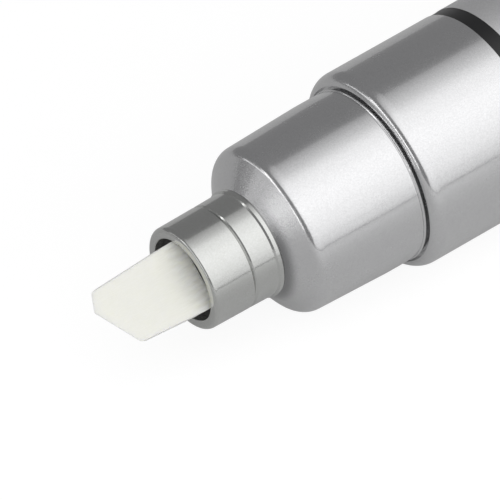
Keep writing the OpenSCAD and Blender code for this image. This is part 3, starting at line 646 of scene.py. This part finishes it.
turned("cap_skin", [
    (MOUTH_R, CAP_AT, 0.2), (BODY_R, CAP_AT, 0.3), (BODY_R, CAP_END, 3.0), (0, CAP_END, 0),
    (0, LINER_END, 0), (DEEP_R, LINER_END, 0),
], silver, "cap", "silver_plastic", "cap_shell")
turned("inner_cap", [
    (0, LINER_END - LINER_TOP, 0), (LINER_R, LINER_END - LINER_TOP, 0.3),
    (LINER_R, LINER_AT + CAP_SEAL_DEPTH, 0), (CAP_SEAL_R, LINER_AT + CAP_SEAL_DEPTH, 0),
    (CAP_SEAL_R, LINER_AT, 0.1), (LINER_OUT_R, LINER_AT, 0.2), (LINER_OUT_R, LINER_END - LINER_TOP, 0),
    (DEEP_R - GAP, LINER_END - LINER_TOP, 0), (DEEP_R - GAP, LINER_END, 0), (0, LINER_END, 0),
], white, "cap", "white_plastic", "cap_liner")

# %% [markdown]
# ## The nib
# The felt is a slab, narrowed and thinned towards its point, with a short and a long cut at its end. Its
# edges are ground round, softer along the sides than at the cuts, and fine flutes near the holder feed the
# ink. We could cut it with booleans, but felt has no hard edge anywhere. So each broad face is a height
# over a grid of two shares, one across and one along, and the height falls off near every edge as a
# quarter circle does.

# %% Nib measures
NIB_W, NIB_T, NIB_TIP_W, NIB_TIP_T, NIB_REACH, NIB_END = 14.1, 7.0, 12.4, 4.6, 19.5, 19.8
POINT_AT, SHORT_CUT, LONG_CUT, END_LEAN = -2.6, 1.4, 5.2, np.radians(31)
SIDE_ROUND, END_ROUND, CORNER_ROUND = 0.12, 0.08, 0.5
FLUTE_PITCH, FLUTE_R, FLUTE_DEPTH, FLUTE_REACH, FLUTE_FADE = 12.9 / 9, 0.45, 0.25, 2.6, 1.8
OUTER_FLUTE, CUT_JOIN, CUT_COSINE, LEAST_HALF = 4, 0.1, 0.88, 0.15
ARC_POINTS, ACROSS_POINTS, ALONG_POINTS = 9, 130, 84
TURN = np.radians(-53.6)
print("nib thickness over width:", round(NIB_T / NIB_W, 2))


# %% Nib surface
def edge_drop(distance, r):
    """Drop of a round edge: r - sqrt(r^2 - (r - distance)^2) while the distance is below r, then none."""
    inside = np.clip(r - distance, 0, r)
    return r - np.sqrt(r * r - inside * inside)


def end_station(a):
    """Front end at a place across: the higher of two straight cuts, rounded at both corners. Their join is
    half of short + long + sqrt((short - long)^2 + CUT_JOIN^2)."""
    short = -NIB_REACH + SHORT_CUT * (POINT_AT - a) / (POINT_AT + NIB_TIP_W / 2)
    long = -NIB_REACH + LONG_CUT * (a - POINT_AT) / (NIB_TIP_W / 2 - POINT_AT)
    cut = (short + long + np.sqrt((short - long) ** 2 + CUT_JOIN ** 2)) / 2
    return cut + edge_drop(NIB_TIP_W / 2 - np.abs(a), CORNER_ROUND)


def half_width(x, q):
    """Half the slab's width: full from the lip back, and narrowing evenly to the cut on its side."""
    reach = np.where(q < 0, NIB_REACH - SHORT_CUT, NIB_REACH - LONG_CUT)
    return NIB_W / 2 - (NIB_W - NIB_TIP_W) / 2 * np.clip(-x / reach, 0, 1)


across = np.array([0, np.sin(TURN), -np.cos(TURN)])
out_of_face = np.array([0, -np.cos(TURN), -np.sin(TURN)])
quarter = np.linspace(0, np.pi / 2, ARC_POINTS)
side = 1 - SIDE_ROUND * (1 - np.cos(quarter)) / (NIB_W / 2)
q = np.concatenate([-side, np.linspace(-side[-1], side[-1], ACROSS_POINTS)[1:-1], side[::-1]])
near = END_ROUND * (1 - np.cos(quarter)) / CUT_COSINE
nib_length = NIB_REACH + NIB_END
s = np.concatenate([near, np.linspace(near[-1], nib_length, ALONG_POINTS)[1:]]) / nib_length


def broad_face(behind, way):
    """Grid over one broad face whose end stays this far behind the other's: height = half the thickness, less
    the drops of the round edges and the flutes, which are circles sunk to their depth. Points in metres."""
    front = end_station(q * NIB_TIP_W / 2) + behind
    x = front + s[:, None] * (NIB_END - front)
    w = half_width(x, q)
    a = q * w
    thick = NIB_T + (NIB_TIP_T - NIB_T) * np.clip(-x / NIB_REACH, 0, 1)
    height = thick / 2 - edge_drop(w - np.abs(a), SIDE_ROUND) - edge_drop((x - front) * CUT_COSINE, END_ROUND)
    from_flute = a - FLUTE_PITCH * np.clip(np.round(a / FLUTE_PITCH), -OUTER_FLUTE, OUTER_FLUTE)
    flute = np.sqrt(np.clip(FLUTE_R ** 2 - from_flute ** 2, 0, None)) - (FLUTE_R - FLUTE_DEPTH)
    height = height - np.clip(flute, 0, None) * np.clip((x + FLUTE_REACH) / FLUTE_FADE, 0, 1)
    flat = a[..., None] * across + way * np.maximum(height, LEAST_HALF)[..., None] * out_of_face
    flat[..., 0] = x - MIDDLE
    flat[..., 2] += AXIS_Z
    return flat * MM


top_face = broad_face(0, 1)
low_face = broad_face(NIB_TIP_T * np.tan(END_LEAN), -1)
rows, cols = top_face.shape[:2]
top = np.arange(rows * cols).reshape(rows, cols)
low = top + rows * cols
faces = np.concatenate([np.stack(c, axis=-1).reshape(-1, 4) for c in (
    (top[:-1, :-1], top[:-1, 1:], top[1:, 1:], top[1:, :-1]),
    (low[:-1, :-1], low[1:, :-1], low[1:, 1:], low[:-1, 1:]),
    (top[0, 1:], top[0, :-1], low[0, :-1], low[0, 1:]),
    (top[-1, :-1], top[-1, 1:], low[-1, 1:], low[-1, :-1]),
    (top[:-1, 0], top[1:, 0], low[1:, 0], low[:-1, 0]),
    (top[1:, -1], top[:-1, -1], low[:-1, -1], low[1:, -1]))])
nib_points = np.concatenate([top_face.reshape(-1, 3), low_face.reshape(-1, 3)])
piece("felt_nib", nib_points, faces.tolist(), felt, "nib_unit", ("nib",))

# %% [markdown]
# ## The valve spring
# The spring shuts the valve and brings the nib back. It is wound from round wire, with its end curls a little
# closer than the others. CAD has it in straight facets, so it is drawn again here as a round tube along the
# same curve.

# %% Spring
WIRE_R, COIL_R, CURLS, END_SHARE, SPRING_AT, SPRING_LEN = 0.45, 4.3, 6, 0.2, 50.86, 11.61
RETAINER_AT, PRESS, RINGS_PER_CURL, WIRE_SIDES = 62.5, 3.0, 32, 12
t = np.linspace(0, 1, CURLS * RINGS_PER_CURL + 1)
turn = 2 * np.pi * CURLS * t
rise = t - END_SHARE * np.sin(2 * np.pi * t) / (2 * np.pi)
outward = np.column_stack([0 * t, np.cos(turn), np.sin(turn)])
centres = COIL_R * outward + np.outer(SPRING_AT + WIRE_R + (SPRING_LEN - 2 * WIRE_R) * rise, (1, 0, 0))
aside = np.cross(np.gradient(centres, axis=0), outward)
aside /= np.linalg.norm(aside, axis=1, keepdims=True)
k = np.linspace(0, 2 * np.pi, WIRE_SIDES, endpoint=False)[:, None]
rings = centres[:, None] + WIRE_R * (np.cos(k) * outward[:, None] + np.sin(k) * aside[:, None])
index = np.arange(len(t) * WIRE_SIDES).reshape(len(t), WIRE_SIDES)
after = np.roll(index, -1, axis=1)
faces = np.stack([index[:-1], after[:-1], after[1:], index[1:]], axis=-1).reshape(-1, 4).tolist()
faces += [index[0, ::-1].tolist(), index[-1].tolist()]
spring = piece("coil_spring", (rings.reshape(-1, 3) + (-MIDDLE, 0, AXIS_Z)) * MM, faces, wire, "marker",
               ("valve_spring",))
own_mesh(spring)
print("spring keeps this share of its length:", round(1 - PRESS / (RETAINER_AT - SPRING_AT), 3))
